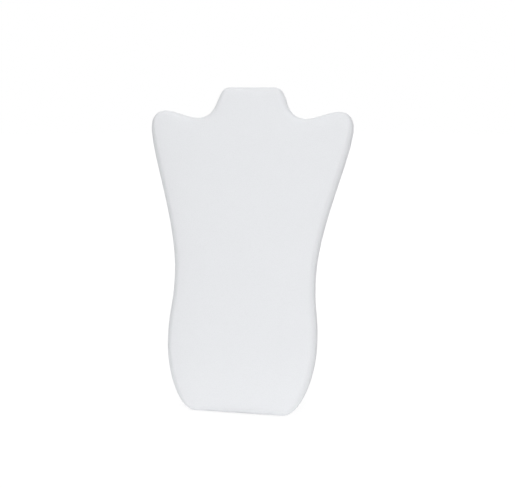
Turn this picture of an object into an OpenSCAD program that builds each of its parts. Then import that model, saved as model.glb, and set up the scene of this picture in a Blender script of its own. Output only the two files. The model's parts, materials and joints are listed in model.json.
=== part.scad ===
// Necklace stand: a padded, leatherette-covered board in the shape of a neck and torso,
// leaning back on a hinged strut that a ribbon keeps from opening too far.
// Millimetres. X runs across the board, -Y is the side the padded face looks to, Z is up,
// and the stand rests on Z = 0. The origin is the middle of its footprint.

/* [Board outline] */
// Width of the straight bottom edge
bottom_w = 91; // [80:1:100]
// Width across the hips
hip_w = 153; // [146:1:164]
// Rise from the bottom edge to the hips
hip_rise = 73; // [60:1:86]
// Width across the waist
waist_w = 145; // [130:1:150]
// Rise from the hips to the waist
waist_rise = 63; // [52:1:74]
// Width across the shoulders
shoulder_w = 210; // [196:1:224]
// Rise from the waist to the shoulders' widest point
shoulder_rise = 155; // [130:1:180]
// Distance from a shoulder's widest point in to its highest point
peak_in = 15; // [13:0.5:18]
// Rise from the widest point of a shoulder to its highest point
peak_rise = 16; // [12:0.5:20]
// Distance from the neck's flat top out to the low point beside the neck
dip_out = 33.5; // [29:0.5:38]
// Drop from a shoulder's highest point to the low point beside the neck
dip_drop = 7.5; // [5:0.5:12]
// Width of the flat top of the neck
neck_w = 47; // [40:1:54]
// Rise from the low point beside the neck to the top of the neck
neck_rise = 32.2; // [26:0.2:44]

/* [Outline curves] */
// How far the bottom edge's direction carries into the corner
bottom_reach = 14.5; // [12:0.5:18]
// How far the hip's upright direction carries down
hip_reach_down = 39; // [32:1:44]
// How far the hip's upright direction carries up
hip_reach_up = 32; // [20:1:36]
// How far the waist's upright direction carries down
waist_reach_down = 35; // [20:1:40]
// How far the waist's upright direction carries up
waist_reach_up = 55; // [40:1:64]
// How far the shoulder's upright direction carries down
shoulder_reach_down = 29; // [20:1:40]
// How far the shoulder's upright direction carries up
shoulder_reach_up = 9.7; // [8:0.1:11]
// How far the shoulder's level top carries outwards
peak_reach_out = 9.5; // [8:0.5:10]
// How far the shoulder's level top carries inwards
peak_reach_in = 9; // [6:0.5:14]
// How far the low point beside the neck carries outwards
dip_reach_out = 8; // [5:0.5:14]
// How far the low point beside the neck carries inwards
dip_reach_in = 26; // [20:0.5:29]
// How far the neck's level top carries outwards
neck_reach = 16.5; // [14:0.5:19]

/* [Board layers] */
// Thickness of the rigid core board
core_t = 5; // [3:0.5:8]
// Thickness of the foam on the face
foam_t = 6; // [4:0.5:9]
// Width of the soft rounding along the edge of the face
edge_round = 7.5; // [5:0.5:8]
// Thickness of the leatherette cover
cover_t = 0.8; // [0.6:0.1:1.2]
// Radius where the cover turns onto the back
turn_r = 1.4; // [1:0.1:2]
// Width of the cover's turned-in hem on the back
hem_w = 7; // [6:0.5:7.5]
// Thickness of the card that closes the back
card_t = 1.5; // [1:0.1:2.5]
// Thickness of the lining over the card
lining_t = 0.6; // [0.4:0.1:0.8]
// Distance from the edge of the board to the lining
lining_inset = 4.5; // [4:0.5:5]

/* [Standing] */
// Angle the board leans back from upright
lean = 15; // [10:0.5:20]
// Angle between the board and the open strut
open_angle = 29; // [25:0.5:36]

/* [Strut] */
// Height of the hinge pin above the bottom edge
hinge_v = 225; // [200:1:245]
// Width of the strut at its top
strut_top_w = 42; // [38:1:48]
// Width of the strut at its foot
strut_foot_w = 68; // [56:1:84]
// Rounding of the strut's top corners
strut_top_r = 5; // [3:0.5:8]
// Rounding of the strut's foot corners
strut_foot_r = 8; // [6:0.5:12]
// Thickness of the strut's rigid board
strut_board_t = 3; // [2.5:0.5:5]
// Thickness of the strut's lining
strut_lining_t = 0.5; // [0.4:0.1:0.8]
// Distance from the strut's edge to its lining
strut_lining_inset = 2.5; // [2:0.5:4]
// Width of the hem turned onto the strut's inner face
strut_hem_w = 9; // [6:0.5:12]
// Gap between the hinge pin's axis and the top of the strut
strut_top_gap = 3.4; // [3:0.1:5]

/* [Hinge] */
// Width of the hinge
hinge_w = 34; // [28:1:36]
// Length of each leaf from the pin's axis
leaf_len = 18; // [15:0.5:22]
// Thickness of the leaves
leaf_t = 1; // [0.8:0.1:1.2]
// Rounding of the leaves' corners
leaf_corner_r = 2; // [1:0.25:3]
// Radius of the hinge pin
pin_r = 1; // [0.8:0.1:1.2]
// Radial clearance of the pin in the knuckles
pin_fit = 0.04; // [0.02:0.01:0.1]
// Radius of the pin's heads
pin_head_r = 1.5; // [1.3:0.1:1.9]
// Thickness of the pin's heads
pin_head_t = 0.6; // [0.4:0.1:1]
// Wall of the rolled knuckles
knuckle_wall = 0.96; // [0.8:0.02:1.2]
// Slit left where a rolled knuckle meets its leaf
curl_gap = 0.25; // [0.15:0.05:0.35]
// Gap between neighbouring knuckles
knuckle_gap = 0.3; // [0.2:0.1:0.5]
// Gap left between the folded moving leaf and the lining
fold_gap = 0.4; // [0.3:0.1:0.6]
// Distance between the two fasteners in each leaf
fastener_pitch = 20; // [16:1:22]

/* [Fasteners] */
// Radius of the screws' shanks
screw_r = 1.2; // [1:0.1:1.4]
// Radius of the screws' countersunk heads
screw_head_r = 2.2; // [2:0.1:2.4]
// Length of the screws, head included
screw_len = 7.2; // [6:0.1:8]
// Width of the cross cut into the screws' heads
cross_w = 0.5; // [0.4:0.05:0.6]
// Depth of the cross cut into the screws' heads
cross_depth = 0.6; // [0.4:0.05:0.8]
// Radius of the rivets' shanks
rivet_r = 1.3; // [1.1:0.1:1.5]
// Radius of the rivets' countersunk heads
rivet_sunk_r = 2.1; // [1.9:0.1:2.3]
// Radius of the rivets' domed heads
rivet_dome_r = 2.9; // [2.5:0.1:3.5]
// Height of the rivets' domed heads
rivet_dome_h = 1; // [0.7:0.1:1.4]
// Clearance around the shanks of screws, rivets and wire legs
shank_fit = 0.05; // [0.03:0.01:0.1]

/* [Ribbon stay] */
// Width of the ribbon
ribbon_w = 10; // [8:0.5:14]
// Thickness of the ribbon
ribbon_t = 0.35; // [0.3:0.05:0.5]
// Distance from the hinge pin to the ribbon's ends
stay_reach = 140; // [110:1:160]
// Length of the tab at each end of the ribbon
tab_len = 12; // [10:0.5:16]
// Width of the wire clip over each tab
clip_w = 7; // [6:0.5:7.5]
// Thickness of the clip wire
clip_wire = 0.55; // [0.4:0.05:0.7]
// Depth that the clip legs reach below the ribbon
clip_leg = 3; // [2:0.1:3.5]

/* [Hidden] */
$fn = 48;

WHITE = [0.91, 0.91, 0.93];
FIBREBOARD = [0.55, 0.4, 0.26];
FOAM = [0.93, 0.9, 0.78];
CARD = [0.62, 0.58, 0.52];
LINING = [0.87, 0.87, 0.88];
NICKEL = [0.72, 0.71, 0.69];
SATIN = [0.95, 0.95, 0.95];

// Stations of the board's outline, where it runs level or upright: [half width, height]
BOTTOM = [bottom_w / 2, 0];
HIP = [hip_w / 2, hip_rise];
WAIST = [waist_w / 2, HIP.y + waist_rise];
SHOULDER = [shoulder_w / 2, WAIST.y + shoulder_rise];
PEAK = SHOULDER + [-peak_in, peak_rise];
DIP = [neck_w / 2 + dip_out, PEAK.y - dip_drop];
NECK = [neck_w / 2, DIP.y + neck_rise];
board_h = NECK.y;
corner_steps = 10;
gentle_steps = 7;
long_steps = 12;
// Curves from station to station: [steps, start, its handle, the end's handle, end]
CURVES = [
    [corner_steps, BOTTOM, BOTTOM + [bottom_reach, 0], HIP - [0, hip_reach_down], HIP],
    [gentle_steps, HIP, HIP + [0, hip_reach_up], WAIST - [0, waist_reach_down], WAIST],
    [long_steps, WAIST, WAIST + [0, waist_reach_up], SHOULDER - [0, shoulder_reach_down], SHOULDER],
    [corner_steps, SHOULDER, SHOULDER + [0, shoulder_reach_up], PEAK + [peak_reach_out, 0], PEAK],
    [gentle_steps, PEAK, PEAK - [peak_reach_in, 0], DIP + [dip_reach_out, 0], DIP],
    [long_steps, DIP, DIP - [dip_reach_in, 0], NECK + [neck_reach, 0], NECK],
];
// The tightest share of a convex curve's radius that an inset may use
inset_share = 0.85;

function curve_point(c, t) =
    pow(1 - t, 3) * c[1] + 3 * pow(1 - t, 2) * t * c[2] + 3 * (1 - t) * t * t * c[3] + pow(t, 3) * c[4];
function curve_slope(c, t) =
    3 * (pow(1 - t, 2) * (c[2] - c[1]) + 2 * (1 - t) * t * (c[3] - c[2]) + t * t * (c[4] - c[3]));
function curve_bend(c, t) =
    6 * ((1 - t) * (c[3] - 2 * c[2] + c[1]) + t * (c[4] - 2 * c[3] + c[2]));

// A place on the outline: its point, its outward normal and the deepest inset it takes
function outline_place(c, t) =
    let (slope = curve_slope(c, t), bend = curve_bend(c, t),
         turning = slope.x * bend.y - slope.y * bend.x)
    [curve_point(c, t), [slope.y, -slope.x] / norm(slope),
     turning > 0 ? inset_share * pow(norm(slope), 3) / turning : shoulder_w];

HALF_OUTLINE = concat(
    [for (c = CURVES) for (i = [0:c[0] - 1]) outline_place(c, i / c[0])],
    [outline_place(CURVES[len(CURVES) - 1], 1)]);
OUTLINE = concat(HALF_OUTLINE,
    [for (i = [len(HALF_OUTLINE) - 1:-1:0])
        let (p = HALF_OUTLINE[i]) [[-p[0].x, p[0].y], [-p[1].x, p[1].y], p[2]]]);

function outline(inset) = [for (p = OUTLINE) p[0] - p[1] * min(inset, p[2])];
function ring(inset, w) = [for (p = outline(inset)) [p.x, p.y, w]];

// Levels through the board, measured forwards from the back of the core
face_w = core_t + foam_t + cover_t;
lining_w = -cover_t - card_t;
back_w = lining_w - lining_t;
knuckle_r = pin_r + pin_fit + knuckle_wall;
pivot_w = back_w - knuckle_r;

// Levels through the strut, measured forwards from the hinge pin with the strut folded flat
leaf_near = knuckle_r - fold_gap;
strut_near = leaf_near - leaf_t;
strut_hem_near = strut_near - strut_lining_t;
strut_core_near = strut_hem_near - cover_t;
strut_core_far = strut_core_near - strut_board_t;
strut_far = strut_core_far - cover_t;

// Section of the padded edge: [inset, level] from the side of the board to its flat face
round_steps = 6;
function edge_section(skin) =
    [for (i = [0:round_steps])
        let (a = 90 * i / round_steps)
        [edge_round - (edge_round - skin) * cos(a), core_t + (face_w - core_t - skin) * sin(a)]];
turn_steps = 3;
TURN_SECTION = [for (i = [0:turn_steps])
    let (a = 90 * i / turn_steps) [turn_r * (1 - cos(a)), -cover_t + turn_r * (1 - sin(a))]];
ROUND_SECTION = edge_section(0);
OUTER_SECTION = concat(
    [for (i = [round_steps:-1:0]) ROUND_SECTION[i]], TURN_SECTION, [[hem_w, -cover_t]]);
INNER_SECTION = concat([[hem_w, 0], [cover_t, 0]], edge_section(cover_t));

// Where the board stands
strut_lean = open_angle - lean;
lift = -min([for (s = OUTER_SECTION) s[0] * cos(lean) + s[1] * sin(lean)]);
pivot_z = lift + hinge_v * cos(lean) + pivot_w * sin(lean);
strut_len = (pivot_z - strut_far * sin(strut_lean)) / cos(strut_lean);
front_y = min([for (s = OUTER_SECTION) s[0] * sin(lean) - s[1] * cos(lean)]);
pivot_y = hinge_v * sin(lean) - pivot_w * cos(lean);
foot_y = pivot_y + pivot_z * tan(strut_lean) - strut_far / cos(strut_lean);
shift_y = -(front_y + foot_y) / 2;
// How far cuts run past what they cut, and a length past the whole part
past = 1;
room = 2 * board_h;

module on_board() {
    translate([0, shift_y, lift]) rotate([90 - lean, 0, 0]) children();
}

module on_strut() {
    on_board() translate([0, hinge_v, pivot_w]) rotate([open_angle, 0, 0]) children();
}

module above(z) {
    intersection() {
        children();
        translate([-room, -room, z]) cube([2 * room, 2 * room, room]);
    }
}

// A closed skin through equal rings, each ring going round the same way
module loft(rings) {
    n = len(rings[0]);
    last = (len(rings) - 1) * n;
    polyhedron(
        points = [for (r = rings) each r],
        faces = concat(
            [[for (i = [n - 1:-1:0]) i]],
            [for (k = [0:len(rings) - 2]) for (i = [0:n - 1])
                let (a = k * n + i, b = k * n + (i + 1) % n) [a, b, b + n]],
            [for (k = [0:len(rings) - 2]) for (i = [0:n - 1])
                let (a = k * n + i, b = k * n + (i + 1) % n) [a, b + n, a + n]],
            [[for (i = [0:n - 1]) last + i]]),
        convexity = 8);
}

module slab(inset, from, to) {
    translate([0, 0, from]) linear_extrude(to - from) polygon(outline(inset));
}

// The strut's tapered outline, at an inset from its edge
least_corner_r = 0.5;
strut_taper = atan((strut_foot_w - strut_top_w) / 2 / (strut_len - strut_top_gap));
function strut_side(y) = strut_top_w / 2 + (-strut_top_gap - y) * tan(strut_taper);
function strut_corner(inset, corner_r, end_y, inwards, from, to) =
    let (r = max(corner_r - inset, least_corner_r),
         y = end_y + inwards * (inset + r),
         x = strut_side(y) - (inset + r) / cos(strut_taper))
    [for (i = [0:corner_steps])
        let (a = from + (to - from) * i / corner_steps) [x + r * cos(a), y + r * sin(a)]];
function strut_half(inset) = concat(
    strut_corner(inset, strut_foot_r, -strut_len, 1, -90, strut_taper),
    strut_corner(inset, strut_top_r, -strut_top_gap, -1, strut_taper, 90));

module strut_slab(inset, from, to) {
    half = strut_half(inset);
    other = [for (i = [len(half) - 1:-1:0]) [-half[i].x, half[i].y]];
    translate([0, 0, from]) linear_extrude(to - from) polygon(concat(half, other));
}

// Places of the fasteners, in hinge coordinates
fastener_y = (knuckle_r + leaf_len) / 2;
module at_fasteners(side) {
    for (x = [-1, 1] * fastener_pitch / 2)
        translate([x, side * fastener_y, 0]) children();
}

// A countersunk shank that points forwards, with its head flush at level 0
module sunk_shank(r, head_r, length, fit = 0) {
    cylinder(r = r + fit, h = length + fit);
    cylinder(r1 = head_r + fit, r2 = r + fit, h = head_r - r);
}

module screw_shanks(fit = 0) {
    translate([0, hinge_v, pivot_w + knuckle_r - leaf_t]) at_fasteners(1)
        sunk_shank(screw_r, screw_head_r, screw_len, fit);
}

rivet_len = leaf_near - strut_far + rivet_dome_h / 2;
module rivet_shanks(fit = 0) {
    translate([0, 0, leaf_near]) at_fasteners(-1) mirror([0, 0, 1])
        sunk_shank(rivet_r, rivet_sunk_r, rivet_len, fit);
}

// Two legs of a wire clip, which pass through the ribbon and reach forwards from level 0
module clip_legs(fit = 0) {
    side = clip_wire + 2 * fit;
    start = ribbon_t + clip_wire / 2;
    for (x = [-1, 1] * (clip_w - clip_wire) / 2)
        translate([x - side / 2, -side / 2, -start])
            cube([side, side, start + clip_leg + fit]);
}

module wire_clip() {
    clip_legs();
    translate([-clip_w / 2, -clip_wire / 2, -ribbon_t - clip_wire])
        cube([clip_w, clip_wire, clip_wire]);
}

clip_v = hinge_v - stay_reach + tab_len / 2;
module at_board_clip() {
    on_board() translate([0, clip_v, back_w]) children();
}

module at_strut_clip() {
    on_strut() translate([0, -stay_reach - tab_len / 2, strut_near]) mirror([0, 0, 1]) children();
}

module core_board() {
    color(FIBREBOARD) difference() {
        on_board() difference() {
            slab(cover_t, 0, core_t);
            screw_shanks(shank_fit);
        }
        at_board_clip() clip_legs(shank_fit);
    }
}

module foam_pad() {
    section = edge_section(cover_t);
    color(FOAM) on_board() loft([for (i = [round_steps:-1:0]) ring(section[i].x, section[i].y)]);
}

module face_cover() {
    color(WHITE) on_board() loft([for (s = concat(OUTER_SECTION, INNER_SECTION)) ring(s[0], s[1])]);
}

module back_card() {
    color(CARD) difference() {
        on_board() difference() {
            slab(lining_inset + lining_t, lining_w, -cover_t);
            screw_shanks(shank_fit);
        }
        at_board_clip() clip_legs(shank_fit);
    }
}

module back_lining() {
    color(LINING) difference() {
        on_board() difference() {
            slab(lining_inset, back_w, -cover_t);
            slab(lining_inset + lining_t, lining_w, room);
            screw_shanks(shank_fit);
        }
        at_board_clip() clip_legs(shank_fit);
    }
}

// One leaf of the hinge, reaching up from the pin, with its face at level near
knuckle_len = (hinge_w - 2 * knuckle_gap) / 3;
module knuckle(x, near) {
    translate([x, 0, 0]) difference() {
        union() {
            rotate([0, 90, 0]) cylinder(r = knuckle_r, h = knuckle_len);
            translate([0, 0, near - leaf_t]) cube([knuckle_len, fastener_y, leaf_t]);
        }
        translate([-past, 0, 0]) {
            translate([0, knuckle_r - knuckle_wall / 2, near - leaf_t - curl_gap])
                cube([knuckle_len + 2 * past, knuckle_r, curl_gap]);
            rotate([0, 90, 0]) cylinder(r = pin_r + pin_fit, h = knuckle_len + 2 * past);
        }
    }
}

module leaf(places, near) {
    low = knuckle_r + knuckle_gap;
    for (i = places)
        knuckle(-hinge_w / 2 + i * (knuckle_len + knuckle_gap), near);
    translate([0, 0, near - leaf_t]) {
        translate([-hinge_w / 2, low, 0]) cube([hinge_w, leaf_len - low - leaf_corner_r, leaf_t]);
        translate([leaf_corner_r - hinge_w / 2, low, 0])
            cube([hinge_w - 2 * leaf_corner_r, leaf_len - low, leaf_t]);
        for (x = [-1, 1] * (hinge_w / 2 - leaf_corner_r))
            translate([x, leaf_len - leaf_corner_r, 0]) cylinder(r = leaf_corner_r, h = leaf_t);
    }
}

module hinge_fixed_leaf() {
    color(NICKEL) on_board() difference() {
        translate([0, hinge_v, pivot_w]) leaf([0, 2], knuckle_r);
        screw_shanks(shank_fit);
    }
}

module hinge_moving_leaf() {
    color(NICKEL) on_strut() difference() {
        mirror([0, 1, 0]) leaf([1], leaf_near);
        rivet_shanks(shank_fit);
    }
}

module hinge_pin() {
    color(NICKEL) on_board() translate([-hinge_w / 2, hinge_v, pivot_w]) rotate([0, 90, 0]) {
        cylinder(r = pin_r, h = hinge_w);
        for (x = [-pin_head_t, hinge_w])
            translate([0, 0, x]) cylinder(r = pin_head_r, h = pin_head_t);
    }
}

module hinge_screws() {
    color(NICKEL) on_board() difference() {
        screw_shanks();
        translate([0, hinge_v, pivot_w + knuckle_r - leaf_t]) at_fasteners(1)
            for (turn = [45, 135])
                rotate(turn) translate([-screw_r, -cross_w / 2, -past])
                    cube([2 * screw_r, cross_w, cross_depth + past]);
    }
}

dome_steps = 6;
module hinge_rivets() {
    dome = [for (i = [0:dome_steps]) let (a = 90 * i / dome_steps)
        [rivet_dome_r * cos(a), -rivet_dome_h * sin(a)]];
    color(NICKEL) on_strut() {
        rivet_shanks();
        translate([0, 0, strut_far]) at_fasteners(-1) rotate_extrude() polygon(concat([[0, 0]], dome));
    }
}

module strut_board() {
    color(FIBREBOARD) above(cover_t) difference() {
        on_strut() difference() {
            strut_slab(cover_t, strut_core_far, strut_core_near);
            rivet_shanks(shank_fit);
        }
        at_strut_clip() clip_legs(shank_fit);
    }
}

module strut_cover() {
    color(WHITE) above(0) difference() {
        on_strut() difference() {
            strut_slab(0, strut_far, strut_hem_near);
            strut_slab(strut_hem_w, (strut_core_far + strut_core_near) / 2, room);
            rivet_shanks(shank_fit);
        }
        above(cover_t) on_strut() strut_slab(cover_t, strut_core_far, strut_core_near);
    }
}

module strut_lining() {
    color(LINING) above(strut_lining_inset) difference() {
        on_strut() difference() {
            strut_slab(strut_lining_inset, strut_hem_near, strut_near);
            rivet_shanks(shank_fit);
        }
        at_strut_clip() clip_legs(shank_fit);
    }
}

// The ribbon's middle line in the board's section: [height, level]
function strut_to_section(y, z) =
    [hinge_v + y * cos(open_angle) - z * sin(open_angle),
     pivot_w + y * sin(open_angle) + z * cos(open_angle)];
RIBBON_LINE = [
    [hinge_v - stay_reach + tab_len, back_w - ribbon_t / 2],
    [hinge_v - stay_reach, back_w - ribbon_t / 2],
    strut_to_section(-stay_reach, strut_near + ribbon_t / 2),
    strut_to_section(-stay_reach - tab_len, strut_near + ribbon_t / 2),
];
function across(a, b) = [a.y - b.y, b.x - a.x] / norm(b - a);
function mitre(i) =
    let (n = len(RIBBON_LINE) - 1,
         before = across(RIBBON_LINE[max(i - 1, 0)], RIBBON_LINE[max(i, 1)]),
         after = across(RIBBON_LINE[min(i, n - 1)], RIBBON_LINE[min(i + 1, n)]))
    (before + after) / (1 + before * after);

module ribbon_stay() {
    n = len(RIBBON_LINE) - 1;
    side = [for (i = [0:n]) RIBBON_LINE[i] + mitre(i) * ribbon_t / 2];
    other = [for (i = [n:-1:0]) RIBBON_LINE[i] - mitre(i) * ribbon_t / 2];
    color(SATIN) difference() {
        on_board() translate([-ribbon_w / 2, 0, 0]) rotate([90, 0, 90])
            linear_extrude(ribbon_w) polygon(concat(side, other));
        at_board_clip() clip_legs(shank_fit);
        at_strut_clip() clip_legs(shank_fit);
    }
}

module ribbon_clip_board() {
    color(NICKEL) at_board_clip() wire_clip();
}

module ribbon_clip_strut() {
    color(NICKEL) at_strut_clip() wire_clip();
}

core_board();
foam_pad();
face_cover();
back_card();
back_lining();
hinge_fixed_leaf();
hinge_pin();
hinge_screws();
ribbon_stay();
ribbon_clip_board();
hinge_moving_leaf();
hinge_rivets();
strut_board();
strut_cover();
strut_lining();
ribbon_clip_strut();
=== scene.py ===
"""Looks of a padded necklace stand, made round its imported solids.

Each piece is modelled in one of two working frames and then put in place. The board's frame has u across it,
v up it and w out of its padded face, with w = 0 on the back of the core board. The strut's frame is that
frame turned about the hinge pin, with y up along the strut and z towards the board. All lengths are metres,
and the scale of a pattern is its waves or cells in a metre.
"""

from __future__ import annotations

import json
import logging
import math
from dataclasses import dataclass
from enum import Enum
from typing import Any, Callable, Iterable, Mapping, Sequence, Union

import bmesh
import bpy
import numpy as np
from mathutils import Matrix, Vector, noise


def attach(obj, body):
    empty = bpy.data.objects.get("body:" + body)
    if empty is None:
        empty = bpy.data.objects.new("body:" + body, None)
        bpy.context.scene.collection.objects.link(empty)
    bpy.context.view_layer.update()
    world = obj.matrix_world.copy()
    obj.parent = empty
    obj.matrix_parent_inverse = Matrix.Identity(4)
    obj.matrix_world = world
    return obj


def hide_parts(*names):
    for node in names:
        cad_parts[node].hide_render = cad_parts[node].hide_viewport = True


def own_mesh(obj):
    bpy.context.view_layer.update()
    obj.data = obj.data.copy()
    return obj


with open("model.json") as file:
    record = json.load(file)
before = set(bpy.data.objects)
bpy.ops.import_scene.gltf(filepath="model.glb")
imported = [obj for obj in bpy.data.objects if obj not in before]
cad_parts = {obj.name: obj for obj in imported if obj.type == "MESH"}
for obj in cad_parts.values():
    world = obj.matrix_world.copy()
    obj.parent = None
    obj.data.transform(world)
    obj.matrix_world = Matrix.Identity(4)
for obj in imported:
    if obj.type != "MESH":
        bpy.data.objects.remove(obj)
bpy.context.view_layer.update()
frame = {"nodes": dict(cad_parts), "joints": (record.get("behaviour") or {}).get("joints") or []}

LOG = logging.getLogger("necklace_stand")
MM = 0.001
QUARTER = math.pi / 2
LEVEL_GAP = 1e-6
WELD_GAP = 1e-7
SHORTEST_EDGE = 1e-8
WHITE = (1.0, 1.0, 1.0, 1.0)

Points = np.ndarray
Object = bpy.types.Object
Socket = bpy.types.NodeSocket
Mesh = bmesh.types.BMesh
Edge = bmesh.types.BMEdge
Vertex = bmesh.types.BMVert
Triple = tuple[float, float, float]
Level = Union[float, Callable[[Points], Points]]


class Body(Enum):
    """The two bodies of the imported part."""

    BOARD = "board"
    STRUT = "strut"


class Slot(Enum):
    """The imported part's material slots that new pieces take their finish from."""

    LEATHERETTE = "leatherette"
    FOAM = "foam"
    LINING = "lining_cloth"
    RIBBON = "satin_ribbon"


# Shader maths


class Signal:
    """A number that varies over a surface. Arithmetic on it adds Math nodes."""

    def __init__(self, sheet: NodeSheet, socket: Socket) -> None:
        """Wraps a socket of a sheet's node tree."""
        self.sheet = sheet
        self.socket = socket

    def _math(self, operation: str, *values: Signal | float) -> Signal:
        """Adds a Math node on the given values."""
        made = self.sheet.node("ShaderNodeMath", dict(enumerate(values)), operation=operation)
        return Signal(self.sheet, made.outputs[0])

    def __add__(self, other: Signal | float) -> Signal:
        """Adds a number or a signal."""
        return self._math("ADD", self, other)

    def __radd__(self, other: float) -> Signal:
        """Adds a number on the left."""
        return self._math("ADD", other, self)

    def __sub__(self, other: Signal | float) -> Signal:
        """Takes a number or a signal away."""
        return self._math("SUBTRACT", self, other)

    def __rsub__(self, other: float) -> Signal:
        """Takes the signal away from a number."""
        return self._math("SUBTRACT", other, self)

    def __mul__(self, other: Signal | float) -> Signal:
        """Multiplies by a number or a signal."""
        return self._math("MULTIPLY", self, other)

    def __rmul__(self, other: float) -> Signal:
        """Multiplies a number on the left."""
        return self._math("MULTIPLY", other, self)

    def __pow__(self, other: float) -> Signal:
        """Raises the signal to a power."""
        return self._math("POWER", self, other)

    def maximum(self, other: Signal | float) -> Signal:
        """Takes the larger of two values."""
        return self._math("MAXIMUM", self, other)

    def wave(self) -> Signal:
        """Takes the sine of the signal."""
        return self._math("SINE", self)

    def size(self) -> Signal:
        """Drops the sign of the signal."""
        return self._math("ABSOLUTE", self)

    def between(self, low: float, high: float) -> Signal:
        """Stretches a span of the signal over 0 to 1, with soft ends.

        Args:
            low: The value that becomes 0.
            high: The value that becomes 1.

        Returns:
            The stretched signal.
        """
        inputs = {"Value": self, "From Min": low, "From Max": high}
        made = self.sheet.node("ShaderNodeMapRange", inputs, interpolation_type="SMOOTHSTEP")
        return Signal(self.sheet, made.outputs[0])


class NodeSheet:
    """The node tree of one material, or of the world."""

    def __init__(self, tree: bpy.types.NodeTree) -> None:
        """Empties the tree and starts on it."""
        self.tree = tree
        self.tree.nodes.clear()

    def node(self, kind: str, inputs: Mapping[Any, Any] | None = None, **settings: Any) -> bpy.types.Node:
        """Adds a node.

        Args:
            kind: The node's type.
            inputs: Values, signals or sockets for its input sockets, by name or index.
            **settings: Its attributes, which are set first.

        Returns:
            The new node.
        """
        made = self.tree.nodes.new(kind)
        for name, value in settings.items():
            setattr(made, name, value)
        for key, value in (inputs or {}).items():
            source = value.socket if isinstance(value, Signal) else value
            if isinstance(source, Socket):
                self.tree.links.new(source, made.inputs[key])
            else:
                made.inputs[key].default_value = source
        return made

    def place(self, turn: Triple = (0, 0, 0), stretch: Triple = (1, 1, 1)) -> Socket:
        """Gives a point's place on the object, turned (radians) and stretched."""
        spot = self.node("ShaderNodeTexCoord").outputs["Object"]
        return self.node("ShaderNodeMapping", {"Vector": spot, "Rotation": turn, "Scale": stretch}).outputs[0]

    def noise(self, place: Socket, scale: float, detail: float = 2.0, rough: float = 0.5) -> Signal:
        """Adds a noise texture and gives its strength from 0 to 1."""
        inputs = {"Vector": place, "Scale": scale, "Detail": detail, "Roughness": rough}
        return Signal(self, self.node("ShaderNodeTexNoise", inputs).outputs[0])

    def streaks(self, turn: Triple, scales: Triple, detail: float = 2.0, rough: float = 0.5) -> Signal:
        """Adds noise that is turned (radians) and has its own scale along each axis."""
        return self.noise(self.place(turn, scales), 1.0, detail, rough)

    def cells(self, place: Socket, scale: float, feature: str = "F1") -> Signal:
        """Adds a cell texture and gives the distance in it."""
        made = self.node("ShaderNodeTexVoronoi", {"Vector": place, "Scale": scale}, feature=feature)
        return Signal(self, made.outputs["Distance"])

    def crevices(self, reach: float) -> Signal:
        """Gives 0 on open surfaces, and up to 1 where others stand closer than the reach."""
        made = self.node("ShaderNodeAmbientOcclusion", {"Distance": reach}, samples=6)
        return 1.0 - Signal(self, made.outputs["AO"])

    def mix(self, share: Signal | float, first: Any, second: Any) -> Socket:
        """Mixes two colours by a share of the second."""
        return self.node("ShaderNodeMix", {0: share, 6: first, 7: second}, data_type="RGBA").outputs[2]

    def bump(self, height: Signal, depth: float, **others: Any) -> Socket:
        """Turns a height from 0 to 1 into the normal of a relief this deep. Others are the node's inputs."""
        return self.node("ShaderNodeBump", {"Height": height, "Distance": depth, **others}).outputs[0]

    def surface(self, **inputs: Any) -> None:
        """Ends the tree in a principled surface.

        Args:
            **inputs: The surface's inputs, named with underscores for spaces.
        """
        named = {name.replace("_", " "): value for name, value in inputs.items()}
        shader = self.node("ShaderNodeBsdfPrincipled", named)
        self.node("ShaderNodeOutputMaterial", {"Surface": shader.outputs[0]})

    def either(self, share: Signal, first: Socket, second: Socket) -> Socket:
        """Mixes two shaders by a share of the second."""
        return self.node("ShaderNodeMixShader", {0: share, 1: first, 2: second}).outputs[0]

    def glow(self, strength: float, kind: str = "ShaderNodeEmission") -> Socket:
        """Gives plain white light of a strength."""
        return self.node(kind, {"Color": WHITE, "Strength": strength}).outputs[0]

    def glowing_matt(self, grey: float, strength: float) -> Socket:
        """Gives a matt grey surface that also glows."""
        matt = self.node("ShaderNodeBsdfDiffuse", {"Color": (grey, grey, grey, 1.0)}).outputs[0]
        return self.node("ShaderNodeAddShader", {0: matt, 1: self.glow(strength)}).outputs[0]

    def seen(self) -> Signal:
        """Tells which rays show a surface to the camera: straight, in a gloss or through glass.

        Returns:
            A signal that is 1 for those rays.
        """
        rays = self.node("ShaderNodeLightPath").outputs
        kinds = ("Camera", "Glossy", "Transmission")
        straight, mirrored, through = (Signal(self, rays[f"Is {kind} Ray"]) for kind in kinds)
        return straight.maximum(mirrored).maximum(through)


# Finishes


@dataclass(frozen=True)
class Finish:
    """What all finishes share: a name, a colour and the material that they make once."""

    name: str
    colour: Triple

    def material(self) -> bpy.types.Material:
        """Gives the finish's material, and makes it the first time.

        Returns:
            The material.
        """
        found = bpy.data.materials.get(self.name)
        if found is None:
            found = bpy.data.materials.new(self.name)
            found.use_nodes = True
            self.dress(NodeSheet(found.node_tree))
        return found

    def dress(self, sheet: NodeSheet) -> None:
        """Builds the finish's nodes on a material's sheet."""
        raise NotImplementedError

    def tone(self, level: float = 1.0, cast: Triple = (1.0, 1.0, 1.0)) -> tuple[float, ...]:
        """Gives the finish's colour at a level of its brightness and with a cast, and its alpha."""
        return *(part * share * level for part, share in zip(self.colour, cast)), 1.0


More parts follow.
